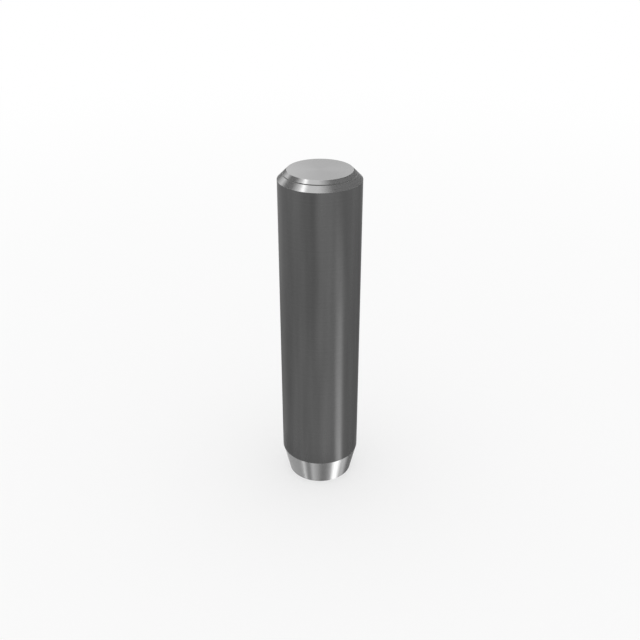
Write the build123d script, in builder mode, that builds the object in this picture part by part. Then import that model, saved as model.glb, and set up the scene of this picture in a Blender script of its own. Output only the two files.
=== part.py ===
from build123d import *
import os

# Taper lock stud, turned in one piece from round bar.
# Millimetres, +Z up along the stud, origin at the middle of the lower end face.
# It stands on its tapered end, which enters the hole first.

# Driving dimensions
shank_diameter = 16.0  # straight ground shank
overall_length = 67.5  # lower end face to upper end face
taper_length = 5.8  # lead taper at the lower end, measured along the stud
taper_end_diameter = 13.3  # lower end face, before its edge is broken
chamfer_size = 1.8  # chamfer round the upper end face, as deep as it is wide
line_drop = 0.72  # fine turned line on that chamfer, below the upper end face
line_width = 0.2  # across the line's mouth, along the chamfer
line_depth = 0.05  # from the chamfer's face to the bottom of the line
edge_break = 0.1  # radius on the sharp edge round each end face

# Worked out from them
shank_radius = shank_diameter / 2
chamfer_angle = 45  # degrees, because the chamfer is as deep as it is wide
taper_end_radius = taper_end_diameter / 2
line_centre = (shank_radius - chamfer_size + line_drop, overall_length - line_drop)


with BuildPart() as stud:
    # Straight shank that runs into the lead taper, as one turned profile
    with BuildSketch(Plane.XZ) as half_section:
        with BuildLine():
            Polyline(
                (0, 0),
                (taper_end_radius, 0),
                (shank_radius, taper_length),
                (shank_radius, overall_length),
                (0, overall_length),
                close=True,
            )
        make_face()
    revolve(axis=Axis.Z)

    # Chamfer round the upper end
    end_edges = stud.edges().filter_by(GeomType.CIRCLE).sort_by(Axis.Z)
    chamfer(end_edges[-1], length=chamfer_size)

    # Both end faces keep a small radius round them
    end_edges = stud.edges().filter_by(GeomType.CIRCLE).sort_by(Axis.Z)
    fillet([end_edges[0], end_edges[-1]], radius=edge_break)

    # Fine V line turned into the chamfer: a flat diamond along its face, half of it in the metal
    with BuildSketch(Plane.XZ) as tool_point:
        with Locations(line_centre):
            Polygon(
                (-line_width / 2, 0),
                (0, -line_depth),
                (line_width / 2, 0),
                (0, line_depth),
                rotation=-chamfer_angle,
            )
    revolve(axis=Axis.Z, mode=Mode.SUBTRACT)

stud.part.label = "stud"

os.makedirs("parts", exist_ok=True)
export_step(stud.part, "parts/stud.step")
print(f"stud: {stud.part.volume:.1f} mm3, valid {stud.part.is_valid}")
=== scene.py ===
import math

import bmesh
import bpy
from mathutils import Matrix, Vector


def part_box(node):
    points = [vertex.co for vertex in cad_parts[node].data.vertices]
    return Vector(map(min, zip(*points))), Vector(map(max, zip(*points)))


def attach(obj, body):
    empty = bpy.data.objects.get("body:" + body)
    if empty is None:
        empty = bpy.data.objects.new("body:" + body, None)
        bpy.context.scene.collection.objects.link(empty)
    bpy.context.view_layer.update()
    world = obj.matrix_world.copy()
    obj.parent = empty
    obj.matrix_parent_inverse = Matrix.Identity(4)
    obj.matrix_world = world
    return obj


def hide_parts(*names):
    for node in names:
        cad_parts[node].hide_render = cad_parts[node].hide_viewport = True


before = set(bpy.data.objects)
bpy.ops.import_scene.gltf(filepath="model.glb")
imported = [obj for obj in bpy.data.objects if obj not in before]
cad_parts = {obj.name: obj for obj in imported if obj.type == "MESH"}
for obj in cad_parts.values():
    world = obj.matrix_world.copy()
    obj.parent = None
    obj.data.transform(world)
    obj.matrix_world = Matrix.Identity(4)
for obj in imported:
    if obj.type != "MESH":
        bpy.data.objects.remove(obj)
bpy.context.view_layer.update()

# Taper lock stud: one turned steel pin, blackened along its shank and left bright at both ends.
# Lengths are in metres, with +Z up the stud and the origin in the middle of its lower end face.
# Angles are in degrees.

mm = 0.001
(_, _, _), (shankRadius, _, overallLength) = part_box("stud")
shankRadius = round(shankRadius, 6)
overallLength = round(overallLength, 6)


def linearColour(hexColour):
    # sRGB hex to the linear values that the shaders take
    levels = [int(hexColour[i:i + 2], 16) / 255 for i in (1, 3, 5)]
    linear = [v / 12.92 if v <= 0.04045 else ((v + 0.055) / 1.055) ** 2.4 for v in levels]
    return (*linear, 1.0)


def addNode(tree, kind, settings=None, **inputs):
    # One node with its settings, its socket values and the links into it.
    # Base_Color stands for the socket Base Color, and _0 for the first socket
    node = tree.nodes.new(kind)
    for name, value in (settings or {}).items():
        setattr(node, name, value)
    for name, value in inputs.items():
        key = int(name[1:]) if name[1:].isdigit() else name.replace("_", " ")
        socket = node.inputs[key]
        if isinstance(value, bpy.types.NodeSocket):
            tree.links.new(value, socket)
        else:
            socket.default_value = value
    return node


def newMaterial(name):
    material = bpy.data.materials.new(name)
    material.use_nodes = True
    material.node_tree.nodes.clear()
    return material, material.node_tree


# Finishes

acrossRings = 0.25  # of a turn: it lays the stretch of a highlight across the rings, not along them
noiseSpan = (0.3, 0.7)  # nearly all values of a noise lie in it


def profileDistance(tree, place):
    # Height less radius, in millimetres: it goes on along every turned face of the stud
    split = addNode(tree, "ShaderNodeSeparateXYZ", _0=place)
    across = addNode(tree, "ShaderNodeVectorMath", {"operation": "MULTIPLY"}, _0=place, _1=(1, 1, 0))
    radius = addNode(tree, "ShaderNodeVectorMath", {"operation": "LENGTH"}, _0=across.outputs[0])
    along = addNode(tree, "ShaderNodeMath", {"operation": "SUBTRACT"},
                    _0=split.outputs["Z"], _1=radius.outputs["Value"])
    inMm = addNode(tree, "ShaderNodeMath", {"operation": "DIVIDE"}, _0=along.outputs[0], _1=mm)
    return inMm.outputs[0]


def latheMetal(tree, colour, roughness, anisotropy, **more):
    # Bare metal with fine rings round it, which stretch each highlight across them
    tangent = addNode(tree, "ShaderNodeTangent", {"direction_type": "RADIAL", "axis": "Z"})
    shader = addNode(tree, "ShaderNodeBsdfPrincipled", None, Base_Color=colour, Metallic=1.0,
                     Roughness=roughness, Anisotropic=anisotropy, Anisotropic_Rotation=acrossRings,
                     Tangent=tangent.outputs[0], **more)
    addNode(tree, "ShaderNodeOutputMaterial", None, Surface=shader.outputs[0])


blackened = {
    "darkHex": "#404040",  # where the black is thickest, and in the darker painted reflection streaks
    "lightHex": "#6F6F6F",  # where it is thin and the ground steel shows through it, and in the lighter painted reflection streaks
    "edgeHex": "#C5C5C5",  # the black takes nearly half of the mirror away at a low angle
    "roughness": 0.30,
    "roughnessSpread": 0.04,
    "anisotropy": 0.65,
    "runAndReflectionMm": 3.5,  # width of the upright runs, partly streaks the bath leaves as it drains off and partly painted reflection streaks
    "runAndReflectionLength": 14.0,  # how many times as long as wide they are
    "runAndReflectionDetail": 2.5,
    "runAndReflectionShift": (43.65, 41.7, 28.59),  # where in the noise the runs are cut from, which sets where the painted reflection streaks lie
    "specklesMm": 0.5,  # mottle of the oxide
    "grindMm": 0.35,  # real grinding lines are a tenth of this: drawn coarse enough to show
    "grindShare": 0.5,  # of the grinding lines in the fine grain, beside the mottle
    "grainShare": 0.2,  # of the fine grain in the colour, beside the runs
    "bumpMm": 0.02,
    "bumpStrength": 0.04,
}


def blackOxide():
    # Black oxide on ground alloy steel: a thin dark skin, so the eye still reads metal under it.
    # It is satin along the shank, with faint upright runs, partly where the bath drained off and partly
    # painted reflection streaks, and the grinder's fine rings below them
    material, tree = newMaterial("black_oxide_on_ground_steel")
    f = blackened
    runAndReflectionWidth = f["runAndReflectionMm"] * mm
    place = addNode(tree, "ShaderNodeTexCoord").outputs["Object"]
    drawn = addNode(tree, "ShaderNodeMapping", None, Vector=place, Location=f["runAndReflectionShift"],
                    Scale=(1 / runAndReflectionWidth, 1 / runAndReflectionWidth, 1 / (runAndReflectionWidth * f["runAndReflectionLength"])))
    runsAndReflections = addNode(tree, "ShaderNodeTexNoise", {"noise_dimensions": "3D"}, Vector=drawn.outputs[0],
                   Scale=1.0, Detail=f["runAndReflectionDetail"])
    speckles = addNode(tree, "ShaderNodeTexNoise", {"noise_dimensions": "3D"}, Vector=place,
                       Scale=1 / (f["specklesMm"] * mm))
    rings = addNode(tree, "ShaderNodeTexNoise", {"noise_dimensions": "1D"}, W=profileDistance(tree, place),
                    Scale=1 / f["grindMm"])
    grain = addNode(tree, "ShaderNodeMix", {"data_type": "FLOAT"}, Factor=f["grindShare"],
                    _2=speckles.outputs["Fac"], _3=rings.outputs["Fac"])
    blend = addNode(tree, "ShaderNodeMix", {"data_type": "FLOAT"}, Factor=f["grainShare"],
                    _2=runsAndReflections.outputs["Fac"], _3=grain.outputs[0])
    # partly painted reflection: the runs lay darker and lighter upright streaks into the colour, beside
    # the oxide's own uneven tone
    colour = addNode(tree, "ShaderNodeMix", {"data_type": "RGBA"}, Factor=blend.outputs[0],
                     _6=linearColour(f["darkHex"]), _7=linearColour(f["lightHex"]))
    rough = addNode(tree, "ShaderNodeMapRange", None, Value=runsAndReflections.outputs["Fac"],
                    From_Min=noiseSpan[0], From_Max=noiseSpan[1],
                    To_Min=f["roughness"] + f["roughnessSpread"],
                    To_Max=f["roughness"] - f["roughnessSpread"])
    bump = addNode(tree, "ShaderNodeBump", None, Strength=f["bumpStrength"], Distance=f["bumpMm"] * mm,
                   Height=rings.outputs["Fac"])
    latheMetal(tree, colour.outputs[2], rough.outputs[0], f["anisotropy"],
               Specular_Tint=linearColour(f["edgeHex"]), Normal=bump.outputs[0])
    return material


bright = {
    "darkHex": "#BABABA",
    "lightHex": "#BEBEBE",
    "roughness": 0.24,
    "roughnessSpread": 0.01,
    "anisotropy": 0.7,
    "ringMm": 0.4,  # the feed of the turning tool, drawn about three times as coarse as it is
}


def turnedSteel():
    # Bright turned steel: fine rings from the tool draw each lamp out into a streak across them
    material, tree = newMaterial("bright_turned_steel")
    f = bright
    place = addNode(tree, "ShaderNodeTexCoord").outputs["Object"]
    rings = addNode(tree, "ShaderNodeTexNoise", {"noise_dimensions": "1D"}, W=profileDistance(tree, place),
                    Scale=1 / f["ringMm"])
    colour = addNode(tree, "ShaderNodeMix", {"data_type": "RGBA"}, Factor=rings.outputs["Fac"],
                     _6=linearColour(f["darkHex"]), _7=linearColour(f["lightHex"]))
    rough = addNode(tree, "ShaderNodeMapRange", None, Value=rings.outputs["Fac"],
                    From_Min=noiseSpan[0], From_Max=noiseSpan[1],
                    To_Min=f["roughness"] - f["roughnessSpread"],
                    To_Max=f["roughness"] + f["roughnessSpread"])
    latheMetal(tree, colour.outputs[2], rough.outputs[0], f["anisotropy"])
    return material


# painted shade: the dark grey given to the fine line on the chamfer for the shade in its groove
paintedLineShade = {
    "hex": "#686868",
    "roughness": 0.30,
    "anisotropy": 0.65,
}


def paintedShadeInLine():
    # Painted shade for the fine line on the chamfer: a dark grey colour in its shallow groove stands in
    # for the shade there, so it reads as a soft dark grey line and not as a gap
    material, tree = newMaterial("painted_shade_in_turned_line")
    f = paintedLineShade
    latheMetal(tree, linearColour(f["hex"]), f["roughness"], f["anisotropy"])
    return material


# The stud

stud = {
    "taperLength": 5.8 * mm,
    "taperEndRadius": 6.65 * mm,
    "chamferSize": 1.8 * mm,
    "lineDrop": 0.72 * mm,  # the fine line on the chamfer, below the upper end face
    "lineWidth": 0.2 * mm,
    "lineDepth": 0.05 * mm,
    "edgeBreak": 0.1 * mm,
    "segments": 288,
    "arcSteps": 6,
    "faceRings": (0.25, 0.5, 0.75),  # rings on both end faces, as shares of their radius
}


def roundedCorner(before, corner, after, radius, steps):
    # Points of the arc that rounds a corner of the outline, from one side to the other
    toBefore = (before - corner).normalized()
    toAfter = (after - corner).normalized()
    half = toBefore.angle(toAfter) / 2
    centre = corner + (toBefore + toAfter).normalized() * (radius / math.sin(half))
    start = corner + toBefore * (radius / math.tan(half)) - centre
    end = corner + toAfter * (radius / math.tan(half)) - centre
    sweep = math.atan2(start.x * end.y - start.y * end.x, start.dot(end))
    points = []
    for i in range(steps + 1):
        turn = sweep * i / steps
        points.append(centre + Vector((start.x * math.cos(turn) - start.y * math.sin(turn),
                                       start.x * math.sin(turn) + start.y * math.cos(turn))))
    return points


def studOutline():
    # Radius and height of each point up the side, whether its ring is a crisp edge,
    # and the finish of the band above it
    s = stud
    top = overallLength
    lower = Vector((s["taperEndRadius"], 0))
    shoulder = Vector((shankRadius, s["taperLength"]))
    shankTop = Vector((shankRadius, top - s["chamferSize"]))
    rim = Vector((shankRadius - s["chamferSize"], top))
    line = Vector((rim.x + s["lineDrop"], top - s["lineDrop"]))
    halfWidth = (rim - shankTop).normalized() * (s["lineWidth"] / 2)
    lineFloor = line - Vector((1, 1)).normalized() * s["lineDepth"]
    lowerArc = roundedCorner(Vector((0, 0)), lower, shoulder, s["edgeBreak"], s["arcSteps"])
    upperArc = roundedCorner(shankTop, rim, Vector((0, top)), s["edgeBreak"], s["arcSteps"])
    outline = []
    for share in s["faceRings"]:
        outline.append((lowerArc[0] * share, False, "bright"))
    for i, point in enumerate(lowerArc):
        outline.append((point, i in (0, s["arcSteps"]), "bright"))
    outline.append((shoulder, True, "blackened"))
    outline.append((shankTop, True, "bright"))
    outline.append((line - halfWidth, True, "line"))
    outline.append((lineFloor, True, "line"))
    outline.append((line + halfWidth, True, "bright"))
    for i, point in enumerate(upperArc):
        outline.append((point, i in (0, s["arcSteps"]), "bright"))
    for share in reversed(s["faceRings"]):
        outline.append((Vector((upperArc[-1].x * share, top)), False, "bright"))
    return outline


def latheMesh(mesh, outline, slots):
    # The outline turned round the axis, with a fan that closes the middle of each end face
    count = stud["segments"]
    form = bmesh.new()
    rings = []
    for point, _, _ in outline:
        ring = []
        for i in range(count):
            turn = 2 * math.pi * i / count
            ring.append(form.verts.new((point.x * math.cos(turn), point.x * math.sin(turn), point.y)))
        rings.append(ring)
    for (_, _, finish), lower, upper in zip(outline, rings, rings[1:]):
        for i in range(count):
            j = (i + 1) % count
            face = form.faces.new((lower[i], lower[j], upper[j], upper[i]))
            face.material_index = slots.index(finish)
            face.smooth = True
    for ring, height, facesUp in ((rings[0], 0.0, False), (rings[-1], overallLength, True)):
        middle = form.verts.new((0, 0, height))
        for i in range(count):
            corners = (middle, ring[i], ring[(i + 1) % count])
            face = form.faces.new(corners if facesUp else corners[::-1])
            face.material_index = slots.index("bright")
            face.smooth = True
    for (_, crisp, _), ring in zip(outline, rings):
        for i in range(count):
            form.edges.get((ring[i], ring[(i + 1) % count])).smooth = not crisp
    form.to_mesh(mesh)
    form.free()


def turnStud():
    print("stage: turning the stud")
    mesh = bpy.data.meshes.new("turned_stud")
    piece = bpy.data.objects.new("turned_stud", mesh)
    bpy.context.scene.collection.objects.link(piece)
    # the line finish is painted shade for the groove of the fine line
    finishes = {"blackened": blackOxide(), "bright": turnedSteel(), "line": paintedShadeInLine()}
    for material in finishes.values():
        mesh.materials.append(material)
    latheMesh(mesh, studOutline(), list(finishes))
    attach(piece, "root")
    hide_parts("stud")


# The camera

shot = {
    "focalPixels": 828.2,  # focal length, in pixels of the image
    "imagePixels": 640,  # width of the image
    "sensor": 36.0,  # width of the sensor in millimetres, the unit of the lens too
    "elevation": 28.585,  # how far the camera looks down
    "distance": 167.16 * mm,
    "aimHeight": 35.93 * mm,  # the point of the stud's axis that it looks at
}


def cameraPlace():
    tilt = math.radians(shot["elevation"])
    away = shot["distance"]
    return Vector((0, -away * math.cos(tilt), shot["aimHeight"] + away * math.sin(tilt)))


def placeCamera():
    print("stage: camera")
    c = shot
    data = bpy.data.cameras.new("shot")
    data.sensor_width = c["sensor"]
    data.lens = c["sensor"] * c["focalPixels"] / c["imagePixels"]
    data.clip_start = 1 * mm
    camera = bpy.data.objects.new("shot", data)
    bpy.context.scene.collection.objects.link(camera)
    camera.location = cameraPlace()
    camera.rotation_euler = (math.pi / 2 - math.radians(c["elevation"]), 0, 0)
    bpy.context.scene.camera = camera


# The studio

studio = {
    "floorHex": "#F7F7F7",
    "floorSize": 6.0,
    "floorShine": 0.45,  # share of plain white in what the camera and the mirrors see of the floor
    "floorFade": (50 * mm, 400 * mm),  # between these distances from the stud it rises to all white
    "floorHole": 15 * mm,  # nearer than this the mirrors look through the floor, at the cards below it
    "worldHex": "#FFFFFF",
    "worldStrength": 1.0,
}


def palePaper():
    # Matt white paper: it holds the stud's soft shadow and is lost in the white of the room further out
    material, tree = newMaterial("pale_studio_floor")
    s = studio
    paper = addNode(tree, "ShaderNodeBsdfDiffuse", None, Color=linearColour(s["floorHex"]))
    white = addNode(tree, "ShaderNodeEmission", None, Strength=1.0)
    rays = addNode(tree, "ShaderNodeLightPath").outputs
    seen = rays["Is Camera Ray"]
    for kind in ("Is Glossy Ray", "Is Transmission Ray"):
        seen = addNode(tree, "ShaderNodeMath", {"operation": "MAXIMUM"}, _0=seen, _1=rays[kind]).outputs[0]
    place = addNode(tree, "ShaderNodeTexCoord").outputs["Object"]
    away = addNode(tree, "ShaderNodeVectorMath", {"operation": "LENGTH"}, _0=place).outputs["Value"]
    shine = addNode(tree, "ShaderNodeMapRange", {"interpolation_type": "SMOOTHSTEP"}, Value=away,
                    From_Min=s["floorFade"][0], From_Max=s["floorFade"][1],
                    To_Min=s["floorShine"], To_Max=1.0)
    share = addNode(tree, "ShaderNodeMath", {"operation": "MULTIPLY"}, _0=seen, _1=shine.outputs[0])
    both = addNode(tree, "ShaderNodeMixShader", None,
                   _0=share.outputs[0], _1=paper.outputs[0], _2=white.outputs[0])
    near = addNode(tree, "ShaderNodeMath", {"operation": "LESS_THAN"}, _0=away, _1=s["floorHole"])
    hole = addNode(tree, "ShaderNodeMath", {"operation": "MULTIPLY"},
                   _0=near.outputs[0], _1=rays["Is Glossy Ray"])
    clear = addNode(tree, "ShaderNodeBsdfTransparent")
    whole = addNode(tree, "ShaderNodeMixShader", None,
                    _0=hole.outputs[0], _1=both.outputs[0], _2=clear.outputs[0])
    addNode(tree, "ShaderNodeOutputMaterial", None, Surface=whole.outputs[0])
    return material


def layFloor():
    print("stage: floor")
    bpy.ops.mesh.primitive_plane_add(size=studio["floorSize"])
    floor = bpy.context.object
    floor.name = "floor"
    floor.data.materials.append(palePaper())


def lightWorld():
    print("stage: world")
    world = bpy.data.worlds.new("white_studio")
    world.use_nodes = True
    world.node_tree.nodes.clear()
    sky = addNode(world.node_tree, "ShaderNodeBackground", None, Color=linearColour(studio["worldHex"]),
                  Strength=studio["worldStrength"])
    addNode(world.node_tree, "ShaderNodeOutputWorld", None, Surface=sky.outputs[0])
    bpy.context.scene.world = world


# Cards that only the mirrors see. A level is how bright a card looks beside the white of the room,
# which is 1.

cardSteps = {"arc": (32, 16), "standing": (20, 20), "laid": (16, 16)}  # squares across and along a card


def towards(azimuth, elevation):
    # A unit vector: azimuth 0 points at the camera's side and 90 to its right
    a, e = math.radians(azimuth), math.radians(elevation)
    return Vector((math.sin(a) * math.cos(e), -math.cos(a) * math.cos(e), math.sin(e)))


def makeCard(name, steps, place, cover, level):
    # A grid of points that place() sets out, with the share of each that cover() shows
    width, length = steps
    points = [(i / width, j / length) for j in range(length + 1) for i in range(width + 1)]
    faces = []
    for j in range(length):
        for i in range(width):
            corner = j * (width + 1) + i
            faces.append((corner, corner + 1, corner + width + 2, corner + width + 1))
    mesh = bpy.data.meshes.new(name)
    mesh.from_pydata([place(u, v) for u, v in points], [], faces)
    shown = mesh.attributes.new("cover", "FLOAT", "POINT")
    for i, (u, v) in enumerate(points):
        shown.data[i].value = cover(u, v)
    card = bpy.data.objects.new(name, mesh)
    bpy.context.scene.collection.objects.link(card)
    material, tree = newMaterial(name)
    share = addNode(tree, "ShaderNodeAttribute", {"attribute_name": "cover"})
    clear = addNode(tree, "ShaderNodeBsdfTransparent")
    glow = addNode(tree, "ShaderNodeEmission", None, Strength=level)
    both = addNode(tree, "ShaderNodeMixShader", None,
                   _0=share.outputs["Fac"], _1=clear.outputs[0], _2=glow.outputs[0])
    addNode(tree, "ShaderNodeOutputMaterial", None, Surface=both.outputs[0])
    mesh.materials.append(material)
    card.visible_camera = False
    card.visible_diffuse = False
    card.visible_shadow = False
    card.visible_transmission = False


# These hang in an arc round the stud's upper end. Each fills what turned faces there mirror in the
# camera's view. "sides" are where round the stud the faces look, from the camera's side, and "slopes" how
# far they lean back: 45 on the chamfer, 18 and 72 on the walls of the fine line. A card fades out
# over its two "soft" angles, at its ends and at its upper and lower edge.
hung = {
    "right_flag": {"sides": (-2, 118), "slopes": (30, 52), "soft": (20, 4), "level": 0.15},
    "left_flag": {"sides": (-64, -31), "slopes": (30, 52), "soft": (10, 4), "level": 0.14},
    "back_left_flag": {"sides": (-118, -65), "slopes": (30, 52), "soft": (18, 4), "level": 0.12},
    "left_softbox": {"sides": (-28.6, -19.1), "slopes": (33, 57), "soft": (4, 6), "level": 2.6},
    "line_right": {"sides": (5, 118), "slopes": (11, 26), "soft": (10, 5), "level": 0.86},
    "line_left": {"sides": (-90, -32), "slopes": (11, 26), "soft": (8, 5), "level": 1.3},
    "line_front": {"sides": (-31, 4), "slopes": (8, 26), "soft": (6, 5), "level": 0.22},
}

# The same below the floor, for the taper, which leans 13 the other way. One with a "behind" lies that
# much further out, so that it shows only where the cards before it fade out or end.
sunk = {
    "foot_streak": {"sides": (16.8, 35.8), "slopes": (-27, -1), "soft": (7.5, 5), "level": 2.35,
                    "behind": 10 * mm},
    "foot_front_dark": {"sides": (-10.5, 22), "slopes": (-27, -1), "soft": (13, 5), "level": 0.26},
    "foot_left_dark": {"sides": (-24.7, -12.9), "slopes": (-27, -1), "soft": (4, 5), "level": 0.31},
    "foot_left_grey": {"sides": (-72, -26.5), "slopes": (-27, -1), "soft": (7, 5), "level": 0.5},
    "foot_left_streak": {"sides": (-29.8, -24.6), "slopes": (-27, -1), "soft": (2.5, 5), "level": 1.3,
                         "behind": 5 * mm},
    "foot_right_dark": {"sides": (42.5, 81), "slopes": (-27, -1), "soft": (10, 5), "level": 0.15},
    "foot_pale": {"sides": (-66, 64), "slopes": (-30, 2), "soft": (14, 5), "level": 0.78,
                  "behind": 30 * mm},
}
arcDistance = 280 * mm  # from the stud to a hung or a sunk card


def mirrored(spot, side, slope):
    # Where the camera's line of sight goes on from a face at this spot that looks this way
    sight = (spot - cameraPlace()).normalized()
    normal = towards(side, slope)
    return sight - 2 * sight.dot(normal) * normal


def setArcCards(stage, cards, height):
    print(f"stage: {stage} cards")
    spot = Vector((0, 0, height))
    for name, c in cards.items():
        first, last = c["sides"]
        low, high = c["slopes"]
        sideSoft, slopeSoft = c["soft"]
        distance = arcDistance + c.get("behind", 0)

        def place(u, v):
            return spot + mirrored(spot, first + (last - first) * u, low + (high - low) * v) * distance

        def cover(u, v):
            sideCover = min(u, 1 - u) * (last - first) / sideSoft
            slopeCover = min(v, 1 - v) * (high - low) / slopeSoft
            return min(1, sideCover, slopeCover)

        makeCard(name, cardSteps["arc"], place, cover, c["level"])


# These stand upright round the stud. The end face mirrors the back one. The others give the bright ends
# something to mirror when the stud is seen from behind or from the side.
standing = {
    "back_card": {"azimuth": 178, "away": 0.25, "size": (0.085, 0.3), "height": 0.15, "level": 0.69},
    "front_left_flag": {"azimuth": -62, "away": 0.4, "size": (0.16, 0.4), "height": 0.26, "level": 0.25},
    "front_right_flag": {"azimuth": 48, "away": 0.4, "size": (0.12, 0.4), "height": 0.26, "level": 0.3},
    "front_softbox": {"azimuth": 18, "away": 0.4, "size": (0.09, 0.2), "height": 0.3, "level": 2.2},
}
standingSoft = 0.9  # share of its half size over which a card fades out


def standCards():
    print("stage: standing cards")
    for name, c in standing.items():
        wide, high = c["size"]
        middle = towards(c["azimuth"], 0) * c["away"]
        across = towards(c["azimuth"] + 90, 0)

        def place(u, v):
            return middle + across * (u - 0.5) * wide + Vector((0, 0, c["height"] + (v - 0.5) * high))

        def cover(u, v):
            return min(1, (1 - abs(2 * u - 1)) / standingSoft, (1 - abs(2 * v - 1)) / standingSoft)

        makeCard(name, cardSteps["standing"], place, cover, c["level"])


# These lie on the floor, where the shank mirrors them. Each fills what the shank mirrors between two
# lines up it, "sides", and fades over "soft" degrees at both. "reach" is how far from the foot a card
# starts, begins to fade and ends, in millimetres.
laid = {
    "streak": {"sides": (22, 35), "soft": 4, "reach": (7, 12, 160), "level": 3.2},
    "front_pale": {"sides": (-9, 22), "soft": 8, "reach": (8, 150, 240), "level": 1.1},
    "left_grey": {"sides": (-57, -9), "soft": 8, "reach": (14, 90, 160), "level": 0.93},
    "right_grey": {"sides": (35, 64), "soft": 8, "reach": (14, 90, 160), "level": 0.8},
    "left_rim": {"sides": (-75, -54), "soft": 8, "reach": (14, 150, 240), "level": 1.15},
    "left_edge": {"sides": (-93, -68), "soft": 8, "reach": (14, 90, 160), "level": 0.64},
    "right_edge": {"sides": (63, 90), "soft": 8, "reach": (14, 90, 160), "level": 0.62},
    "left_far": {"sides": (-77, -58), "soft": 9, "reach": (92, 150, 240), "level": 1.5},
    "back_streak": {"sides": (95, 103), "soft": 3.5, "reach": (20, 28, 160), "level": 2.6},
}
laidHeight = 0.05 * mm  # of the first card above the floor
laidStep = 0.01 * mm  # how much higher each next one lies


def layCards():
    print("stage: laid cards")
    for i, (name, c) in enumerate(laid.items()):
        above = laidHeight + laidStep * i
        first, last = c["sides"]
        near, full, far = c["reach"]

        def reach(v):
            # The rows of points lie closer together near the foot
            return near + (far - near) * v * v

        def place(u, v):
            # A line of sight from the front goes on from this side of the stud at twice its angle
            side = first + (last - first) * u
            spot = towards(side, 0) * stud["taperEndRadius"] + towards(2 * side, 0) * reach(v) * mm
            return (spot.x, spot.y, above)

        def cover(u, v):
            inside = min(u, 1 - u) * (last - first) / c["soft"]
            fade = (far - reach(v)) / (far - full)
            return max(0, min(1, inside, fade))

        makeCard(name, cardSteps["laid"], place, cover, c["level"])


placeCamera()
turnStud()
layFloor()
lightWorld()
setArcCards("hung", hung, overallLength)
setArcCards("sunk", sunk, stud["taperLength"] / 2)
standCards()
layCards()
bpy.context.scene.view_settings.view_transform = "Standard"
